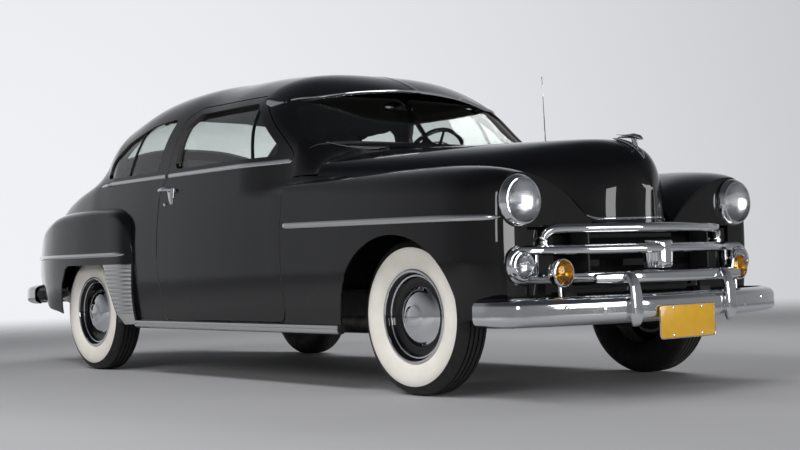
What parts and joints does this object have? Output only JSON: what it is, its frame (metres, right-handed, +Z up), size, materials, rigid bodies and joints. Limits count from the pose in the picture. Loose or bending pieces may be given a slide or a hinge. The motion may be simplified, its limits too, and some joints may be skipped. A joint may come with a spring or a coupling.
{
  "type": "two-door saloon car",
  "caption": "Mid-century two-door fastback saloon with rounded fenders, a bowed bright grille, white-wall tyres, opening doors, bonnet and boot lid, and steered front wheels.",
  "frame": {"origin": "on the ground, below the middle of the car's box", "axes": "+X forward, +Y to the car's left, +Z up"},
  "size_m": [4.983, 1.8652, 1.5992],
  "materials": {
    "body_paint": "high gloss black",
    "under_paint": "satin black",
    "floor_metal": "satin",
    "bright": "polished",
    "wheel_metal": "gloss black with a polished cap and trim ring",
    "plate": "gloss yellow",
    "lens": "clear, fluted",
    "red_lens": "clear red",
    "window": "clear",
    "dash_paint": "satin",
    "control": "gloss",
    "seat_cloth": "soft",
    "cast": "cast",
    "tube": "dull",
    "tyre": "black with a broad white sidewall band"
  },
  "bodies": {
    "car": {"cowl": "body_paint", "roof": "body_paint", "quarter_right": "body_paint", "quarter_left": "body_paint", "front_fender_right": "body_paint", "front_fender_left": "body_paint", "rear_fender_right": "body_paint", "rear_fender_left": "body_paint", "sun_visor": "body_paint", "chassis_frame": "under_paint", "front_panel": "under_paint", "front_axle": "under_paint", "rear_axle": "under_paint", "floor_pan": "floor_metal", "grille": "bright", "front_bumper": "bright", "rear_bumper": "bright", "headlamp_rings": "bright", "body_mouldings": "bright", "stone_guards": "bright", "wipers": "bright", "aerial": "bright", "fog_lamps": "bright", "parking_lamps": "bright", "licence_plate": "plate", "headlamp_lenses": "lens", "tail_lamps": "red_lens", "windscreen": "window", "quarter_glass": "window", "rear_window": "window", "dashboard": "dash_paint", "steering_column": "control", "front_seat": "seat_cloth", "rear_seat": "seat_cloth", "engine": "cast", "exhaust": "tube", "fuel_tank": "tube"},
    "door_right": {"door_right": "body_paint", "door_glass_right": "window", "door_fittings_right": "bright"},
    "door_left": {"door_left": "body_paint", "door_glass_left": "window", "door_fittings_left": "bright"},
    "bonnet": {"bonnet": "body_paint", "bonnet_ornament": "bright"},
    "boot_lid": {"boot_lid": "body_paint"},
    "knuckle_right": {"knuckle_right": "cast"},
    "knuckle_left": {"knuckle_left": "cast"},
    "steering_wheel": {"steering_wheel": "control"},
    "wheel_front_right": {"wheel_front_right": "wheel_metal", "tyre_front_right": "tyre"},
    "wheel_front_left": {"wheel_front_left": "wheel_metal", "tyre_front_left": "tyre"},
    "wheel_rear_right": {"wheel_rear_right": "wheel_metal", "tyre_rear_right": "tyre"},
    "wheel_rear_left": {"wheel_rear_left": "wheel_metal", "tyre_rear_left": "tyre"}
  },
  "joints": [
    {"name": "door_right_hinge", "type": "hinge", "parent": "car", "child": "door_right", "pos_m": [0.797, -0.8875, 0.62], "axis": [0, 0.0544, 0.9985], "range_deg": [0, 62]},
    {"name": "door_left_hinge", "type": "hinge", "parent": "car", "child": "door_left", "pos_m": [0.797, 0.8875, 0.62], "axis": [0, 0.0544, -0.9985], "range_deg": [0, 62]},
    {"name": "bonnet_hinge", "type": "hinge", "parent": "car", "child": "bonnet", "pos_m": [0.95, 0, 1.15], "axis": [0, -1, 0], "range_deg": [0, 50]},
    {"name": "boot_hinge", "type": "hinge", "parent": "car", "child": "boot_lid", "pos_m": [-1.548, 0, 1.3], "axis": [0, 1, 0], "range_deg": [0, 55]},
    {"name": "steer_right", "type": "hinge", "parent": "car", "child": "knuckle_right", "pos_m": [1.64, -0.645, 0.338], "axis": [0, 0, 1], "range_deg": [-28, 28]},
    {"name": "steer_left", "type": "hinge", "parent": "car", "child": "knuckle_left", "pos_m": [1.64, 0.645, 0.338], "axis": [0, 0, 1], "range_deg": [-28, 28]},
    {"name": "steering_turn", "type": "hinge", "parent": "car", "child": "steering_wheel", "pos_m": [0.4716, 0.37, 1.093], "axis": [-0.866, 0, 0.5], "range_deg": [-450, 450]},
    {"name": "wheel_front_right_spin", "type": "hinge", "parent": "knuckle_right", "child": "wheel_front_right", "pos_m": [1.64, -0.715, 0.338], "axis": [0, 1, 0], "continuous": true},
    {"name": "wheel_front_left_spin", "type": "hinge", "parent": "knuckle_left", "child": "wheel_front_left", "pos_m": [1.64, 0.715, 0.338], "axis": [0, 1, 0], "continuous": true},
    {"name": "wheel_rear_right_spin", "type": "hinge", "parent": "car", "child": "wheel_rear_right", "pos_m": [-1.281, -0.745, 0.338], "axis": [0, 1, 0], "continuous": true},
    {"name": "wheel_rear_left_spin", "type": "hinge", "parent": "car", "child": "wheel_rear_left", "pos_m": [-1.281, 0.745, 0.338], "axis": [0, 1, 0], "continuous": true}
  ],
  "couplings": [
    {"joint": "steer_left", "follows": "steer_right", "ratio": 1},
    {"joint": "steering_turn", "follows": "steer_right", "ratio": 16}
  ]
}
